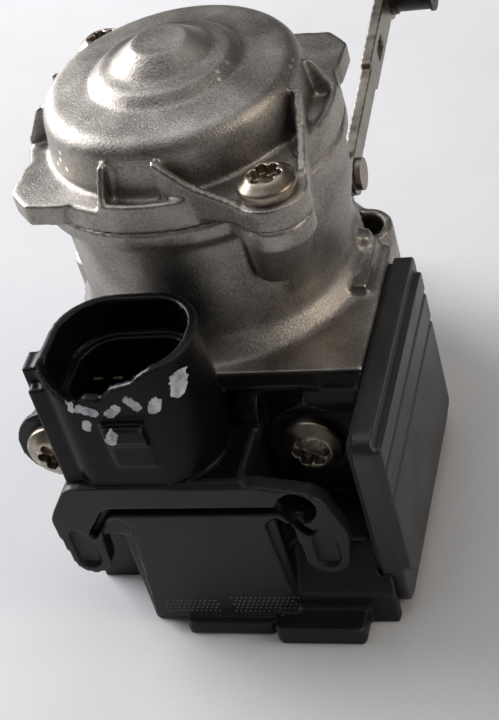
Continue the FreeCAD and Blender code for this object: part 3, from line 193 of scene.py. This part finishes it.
# %% Cast aluminium
def rubbed_line(made, height, half_width, bare):
    tree = made["tree"]
    z = add(tree, "ShaderNodeSeparateXYZ", {0: made["place"]}).outputs["Z"]
    above = add(tree, "ShaderNodeMath", {0: z, 1: height}, operation="SUBTRACT")
    off = add(tree, "ShaderNodeMath", {0: above.outputs[0]}, operation="ABSOLUTE")
    near = add(tree, "ShaderNodeMapRange", {"Value": off.outputs[0], "From Min": half_width * 0.3,
                                            "From Max": half_width, "To Min": 1.0, "To Max": 0.0})
    streak = add(tree, "ShaderNodeTexNoise", {"Vector": made["place"], "Scale": per_metre(3.0), "Detail": 5.0})
    kept = add(tree, "ShaderNodeMapRange", {"Value": streak.outputs["Fac"], "From Min": 0.38, "From Max": 0.50})
    amount = add(tree, "ShaderNodeMath", {0: near.outputs["Result"], 1: kept.outputs["Result"]},
                 operation="MULTIPLY")
    colour = add(tree, "ShaderNodeMix", {"Factor": amount.outputs[0], 6: made["colour"].outputs[2],
                                         7: linear(bare)}, data_type="RGBA")
    tree.links.new(colour.outputs[2], made["shader"].inputs["Base Color"])
    made["colour"] = colour


cast = skin("shot_blasted_cast_aluminium", "#78736C", "#AEA9A1", 9.0, (0.38, 0.48), 1.0, 0.34, 0.07, 0.42)
wear_and_highlight_edges(cast, "#EAE7E0", 0.545, 0.63, 1.0, 0.28)
PARTING_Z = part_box("gear_housing")[1][2]
rubbed_line(cast, PARTING_Z, 0.3 * MM, "#F2EFE8")
print("parting line at", round(PARTING_Z / MM, 2), "mm")

# %% [markdown]
# ## Glass-filled nylon
# The socket cover and the side cover are injection moulded. Glass fibre in the plastic leaves a satin, faintly
# flecked charcoal. The grey on the edges is partly wear where they have been scraped and partly painted
# highlight, light catching the edges painted into the colour. The mould was polished inside the socket's tower
# and spark eroded below it, so the tower is smoother; its deeper black is painted shade, standing in for the
# dark room that its steep front reflects. The side cover is the palest.

# %% Black nylon
nylon = skin("spark_eroded_black_nylon", "#0F0F11", "#18181B", 14.0, (0.40, 0.54), 0.0, 0.35, 0.02)
nylon["shader"].inputs["Specular IOR Level"].default_value = 0.35
wear_and_highlight_edges(nylon, "#6B6B6D", 0.53, 0.64, 0.6, 0.5)
# The tower's copy: smoother, and darker by painted shade standing in for the dark room its front reflects.
shade_painted_nylon = skin("tower_nylon_painted_shade", "#08080A", "#0E0E11", 14.0, (0.24, 0.36), 0.0, 0.35, 0.008)
shade_painted_nylon["shader"].inputs["Specular IOR Level"].default_value = 0.14
wear_and_highlight_edges(shade_painted_nylon, "#5C5C60", 0.53, 0.62, 0.7, 0.4)
pale_nylon = skin("satin_side_nylon", "#1C1B1B", "#282625", 10.0, (0.34, 0.46), 0.0, 0.35, 0.02)
wear_and_highlight_edges(pale_nylon, "#6F6C69", 0.53, 0.64, 0.6, 0.5)

# %% [markdown]
# ## Steel
# The screws are plated steel with a warm tint, and the crank and the rod are stamped steel with a duller,
# browner skin from heat. Ground shafts are the smoothest metal here.

# %% Steels
screw_steel = skin("plated_screw_steel", "#7F7364", "#AEA494", 3.0, (0.28, 0.40), 1.0, 0.25, 0.010)
wear_and_highlight_edges(screw_steel, "#E6E0D6", 0.52, 0.60, 0.8, 0.18)
link_steel = skin("stamped_linkage_steel", "#6C645A", "#A39C90", 5.0, (0.30, 0.48), 1.0, 0.30, 0.012)
ground_steel = skin("ground_shaft_steel", "#A9A9AB", "#C4C4C6", 4.0, (0.16, 0.24), 1.0, 0.12, 0.003)
dark_steel = skin("oxided_bush_steel", "#1E1D1C", "#3A3733", 2.5, (0.35, 0.55), 0.7, 0.25, 0.01)

# %% [markdown]
# ## The pieces inside
# Bearings, magnets, coils and seals are out of sight in the photograph. They still get the finish of what they
# are, for whoever opens the model.

# %% Inner finishes
seal_rubber = skin("nitrile_seal_rubber", "#141414", "#242426", 4.0, (0.60, 0.75), 0.0, 0.2, 0.01)
tinned_brass = skin("tin_plated_brass", "#9A8A63", "#C9BFA6", 2.0, (0.22, 0.34), 1.0, 0.15, 0.004)
bronze = skin("sintered_bearing_bronze", "#7A5630", "#A57C4B", 2.0, (0.34, 0.48), 1.0, 0.15, 0.01)
yoke_steel = skin("rolled_yoke_steel", "#6F7072", "#909193", 6.0, (0.28, 0.40), 1.0, 0.2, 0.005)
ferrite = skin("sintered_ferrite", "#1F2022", "#343538", 3.0, (0.45, 0.60), 0.0, 0.15, 0.008)
copper = skin("enamelled_copper_wire", "#7E3C1E", "#B5673A", 1.5, (0.24, 0.36), 1.0, 0.6, 0.05)
core_steel = skin("stacked_core_steel", "#5E6063", "#808286", 3.0, (0.34, 0.46), 1.0, 0.35, 0.02)
phenolic = skin("phenolic_brush_holder", "#4A3422", "#66492F", 5.0, (0.45, 0.58), 0.0, 0.2, 0.01)
carbon = skin("brush_carbon", "#181818", "#2B2B2C", 1.5, (0.55, 0.70), 0.0, 0.12, 0.01)
acetal = skin("natural_acetal", "#CFC8B4", "#E3DDCC", 6.0, (0.34, 0.44), 0.0, 0.2, 0.006)
laminate = skin("glass_epoxy_board", "#0F3A1E", "#195230", 3.0, (0.30, 0.42), 0.0, 0.5, 0.01)

FINISHES = {
    "cast_aluminium": cast, "black_nylon": nylon, "plated_screw_steel": screw_steel,
    "linkage_steel": link_steel, "shaft_steel": ground_steel, "seal_rubber": seal_rubber,
    "tinned_brass": tinned_brass, "bearing_bronze": bronze, "yoke_steel": yoke_steel,
    "ferrite": ferrite, "copper_wire": copper, "core_steel": core_steel, "holder_plastic": phenolic,
    "brush_carbon": carbon, "wheel_plastic": acetal, "board_laminate": laminate, "bush_steel": dark_steel,
}
slot_of = {part["node"]: part["material_slot"] for part in frame["record"]["subparts"]}
for name, piece in nodes.items():
    piece.data.materials.clear()
    piece.data.materials.append(FINISHES[slot_of[name]]["material"])
print("finishes:", len(FINISHES))

# %% [markdown]
# ## Soft edges
# A casting or a moulding never has a sharp corner, because the mould would chip and the metal wouldn't fill it.
# A bevel on every edge is one way, but it fails where many small faces meet. Wrapping a copy of the solid in
# an even skin of tiny squares and relaxing that skin a few times rounds every edge, inside and out, at once.
# Where the skin folds onto itself, points lie almost on each other, and those are joined.

# %% Wrap a solid in an even skin
PINCH_SHARE = 0.3


def softened(name, voxel_mm, rounds):
    source = nodes[name]
    work = bmesh.new()
    work.from_mesh(source.data)
    bmesh.ops.remove_doubles(work, verts=work.verts, dist=0.001 * MM)
    shell = bpy.data.meshes.new(name + "_shell")
    work.to_mesh(shell)
    work.free()
    rough = bpy.data.objects.new(name + "_rough", shell)
    bpy.context.scene.collection.objects.link(rough)
    wrap = rough.modifiers.new("wrap", "REMESH")
    wrap.mode = "VOXEL"
    wrap.voxel_size = voxel_mm * MM
    relax = rough.modifiers.new("relax", "SMOOTH")
    relax.factor = 0.5
    relax.iterations = rounds
    bpy.context.view_layer.update()
    mesh = bpy.data.meshes.new_from_object(rough.evaluated_get(bpy.context.evaluated_depsgraph_get()))
    bpy.data.objects.remove(rough)
    before = len(mesh.vertices)
    work = bmesh.new()
    work.from_mesh(mesh)
    bmesh.ops.remove_doubles(work, verts=work.verts, dist=PINCH_SHARE * voxel_mm * MM)
    work.to_mesh(mesh)
    work.free()
    print(name, "pinched points joined:", before - len(mesh.vertices))
    mesh.polygons.foreach_set("use_smooth", [True] * len(mesh.polygons))
    mesh.materials.clear()
    mesh.materials.append(FINISHES[slot_of[name]]["material"])
    piece = bpy.data.objects.new(name + "_skin", mesh)
    bpy.context.scene.collection.objects.link(piece)
    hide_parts(name)
    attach(piece, source["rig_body"])
    print(piece.name, "faces:", len(mesh.polygons))
    return piece


softened("motor_cap", 0.34, 6)
softened("gear_housing", 0.60, 2)
cover = softened("front_cover", 0.38, 1)
side = softened("side_cover", 0.36, 1)
side.data.materials[0] = pale_nylon["material"]
for screws in ("cap_screws", "front_cover_screws"):
    softened(screws, 0.16, 2)
for link in ("link_rod", "crank_lever"):
    softened(link, 0.28, 2)
softened("gear_cover", 0.36, 2)

# %% [markdown]
# ## Painted shade on the tower
# The tower and the plate are one piece of plastic. The tower gets a smoother copy of the nylon whose darker
# colour is painted shade, standing in for the dark room that its steep front reflects. A mask in the material
# could divide them, but a second slot on the mesh is simpler and keeps each copy whole.

# %% Give the tower the smoother copy with painted shade
TOWER_FOOT_Z = 31.2 * MM
cover.data.materials.append(shade_painted_nylon["material"])
tower_faces = [face for face in cover.data.polygons if face.center.z > TOWER_FOOT_Z]
for face in tower_faces:
    face.material_index = 1
print("faces on the tower:", len(tower_faces))

# %% [markdown]
# ## Smears of white paint
# Someone tested a paint pen on the front of the socket, under its broken edge. Paint is a thin layer that
# follows the surface, so a fine grid is dropped onto the tower from the front, everything outside a few short
# strokes with ragged borders is removed, and what is left gets a thickness.

# %% Paint smears
def surface_tree(piece):
    return BVHTree.FromPolygons([v.co.copy() for v in piece.data.vertices],
                                [tuple(face.vertices) for face in piece.data.polygons])


def stroke_gap(x, z, stroke):
    start = Vector((stroke[0], stroke[1]))
    along = Vector((stroke[2], stroke[3])) - start
    share = max(0.0, min(1.0, (Vector((x, z)) - start).dot(along) / along.length_squared))
    return (Vector((x, z)) - start - along * share).length - stroke[4]


PAINT_STROKES = (
    (-11.0, 49.4, -10.9, 46.8, 0.55), (-9.6, 46.9, -7.8, 46.2, 0.90), (-9.4, 44.0, -9.6, 43.2, 0.80),
    (-5.4, 45.8, -4.0, 46.8, 0.85), (-5.2, 43.0, -5.8, 41.9, 0.90), (-1.7, 48.4, -0.8, 47.0, 0.85),
    (2.0, 47.3, 1.6, 46.1, 0.95), (5.5, 49.8, 5.0, 47.2, 1.00),
)
PAINT_FIELD = (21.0, 12.0)
PAINT_MIDDLE = (-2.0, 46.5)
FAR_FRONT_Y = -60.0 * MM
PAINT_BACK_Y = -38.0 * MM
PAINT_RAG = 0.30
PAINT_LIFT = 0.02 * MM
PAINT_T = 0.10 * MM


def paint_smears():
    drop_on = surface_tree(cover)
    work = bmesh.new()
    bmesh.ops.create_grid(work, x_segments=170, y_segments=100, size=0.5)
    bmesh.ops.scale(work, verts=work.verts, vec=(*PAINT_FIELD, 1.0))
    bmesh.ops.translate(work, verts=work.verts, vec=(*PAINT_MIDDLE, 0.0))
    bare = []
    for vert in work.verts:
        x, z = vert.co.x, vert.co.y
        rag = PAINT_RAG * noise.noise(Vector((x * 1.9, z * 1.1, 3.0)))
        hit = drop_on.ray_cast(Vector((x * MM, FAR_FRONT_Y, z * MM)), Vector((0.0, 1.0, 0.0)))[0]
        inside = min(stroke_gap(x, z, stroke) for stroke in PAINT_STROKES) + rag < 0
        if hit is None or hit.y > PAINT_BACK_Y or not inside:
            bare.append(vert)
        else:
            vert.co = hit + Vector((0.0, -PAINT_LIFT, 0.0))
    bmesh.ops.delete(work, geom=bare, context="VERTS")
    bmesh.ops.recalc_face_normals(work, faces=work.faces)
    if sum(face.normal.y for face in work.faces) > 0:
        bmesh.ops.reverse_faces(work, faces=work.faces)
    bmesh.ops.solidify(work, geom=work.faces[:], thickness=-PAINT_T)
    bmesh.ops.smooth_vert(work, verts=work.verts, factor=0.3, use_axis_x=True, use_axis_y=True, use_axis_z=True)
    bmesh.ops.recalc_face_normals(work, faces=work.faces)
    mesh = bpy.data.meshes.new("paint_smears")
    work.to_mesh(mesh)
    work.free()
    mesh.materials.append(paint["material"])
    mesh.polygons.foreach_set("use_smooth", [True] * len(mesh.polygons))
    piece = bpy.data.objects.new("paint_smears", mesh)
    bpy.context.scene.collection.objects.link(piece)
    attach(piece, nodes["front_cover"]["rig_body"])
    print("paint faces:", len(mesh.polygons))


paint = skin("white_paint_pen", "#8E9094", "#D9DBDE", 1.6, (0.55, 0.7), 0.0, 0.25, 0.02, 0.3)
paint_smears()

# %% [markdown]
# ## Dotted grip fields
# Two low fields of tiny studs at the foot of the plate keep a thumb from slipping. Each stud is a flattened
# ball of few faces, and a loop sets them in staggered rows on the plate's own surface.

# %% Studs on the plate
STUD_R = 0.24
STUD_PITCH = 0.78
PLATE_NEAR_Y = -47.0 * MM
PLATE_FAR_Y = -45.0 * MM
STUD_FIELDS = ((-7.7, 0.9, 3.2, 5.9), (3.6, 14.4, 3.2, 6.4))


def grip_studs():
    drop_on = surface_tree(cover)
    work = bmesh.new()
    for left, right, low, high in STUD_FIELDS:
        for row in range(int((high - low) / STUD_PITCH) + 1):
            z = low + row * STUD_PITCH
            x = left + 0.5 * STUD_PITCH * (row % 2)
            while x < right:
                hit = drop_on.ray_cast(Vector((x * MM, FAR_FRONT_Y, z * MM)), Vector((0.0, 1.0, 0.0)))[0]
                if hit is not None and PLATE_NEAR_Y < hit.y < PLATE_FAR_Y:
                    ball = bmesh.ops.create_icosphere(work, subdivisions=1, radius=STUD_R * MM)["verts"]
                    bmesh.ops.scale(work, verts=ball, vec=(1.0, 0.6, 1.0))
                    bmesh.ops.translate(work, verts=ball, vec=hit)
                x += STUD_PITCH
    mesh = bpy.data.meshes.new("grip_studs")
    work.to_mesh(mesh)
    work.free()
    mesh.materials.append(nylon["material"])
    mesh.polygons.foreach_set("use_smooth", [True] * len(mesh.polygons))
    piece = bpy.data.objects.new("grip_studs", mesh)
    bpy.context.scene.collection.objects.link(piece)
    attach(piece, nodes["front_cover"]["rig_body"])
    print("stud faces:", len(mesh.polygons))


grip_studs()

# %% [markdown]
# ## The table and the light
# The actuator lies on white paper by a window: the light comes from the left and from behind, and a soft shadow
# falls to the right. A large lamp stands for the window, and a dim, even surround for the room.

# %% Floor, lamps and surround
def plain_floor():
    work = bmesh.new()
    bmesh.ops.create_grid(work, x_segments=1, y_segments=1, size=1.5)
    mesh = bpy.data.meshes.new("floor")
    work.to_mesh(mesh)
    work.free()
    floor = bpy.data.objects.new("floor", mesh)
    floor.location = (0.0, 0.0, -0.00005)
    bpy.context.scene.collection.objects.link(floor)
    paper = skin("white_paper", "#D2D2D2", "#DADADA", 60.0, (0.75, 0.9), 0.0, 0.8, 0.01)
    mesh.materials.append(paper["material"])


def lamp(name, place, target, size, watts, colour):
    data = bpy.data.lights.new(name, "AREA")
    data.shape = "RECTANGLE"
    data.size = size[0]
    data.size_y = size[1]
    data.energy = watts
    data.color = linear(colour)[:3]
    made = bpy.data.objects.new(name, data)
    made.location = place
    made.rotation_euler = (Vector(target) - Vector(place)).to_track_quat("-Z", "Y").to_euler()
    bpy.context.scene.collection.objects.link(made)


plain_floor()
lamp("window", (-0.80, 0.35, 0.44), (0.0, 0.0, 0.04), (0.70, 0.60), 15.0, "#FBFBFF")
lamp("ceiling", (-0.20, 0.30, 1.40), (0.0, 0.0, 0.0), (1.6, 1.4), 7.5, "#F6F9FF")
lamp("room_right", (0.95, -0.10, 0.60), (0.0, 0.0, 0.03), (0.6, 0.6), 3.8, "#FFF3E6")

world = bpy.data.worlds.new("room")
world.use_nodes = True
world.node_tree.nodes.clear()
surround = add(world.node_tree, "ShaderNodeBackground", {"Color": linear("#C9CBCE"), "Strength": 0.20})
add(world.node_tree, "ShaderNodeOutputWorld", {"Surface": surround.outputs["Background"]})
bpy.context.scene.world = world
bpy.context.scene.view_settings.view_transform = "Standard"
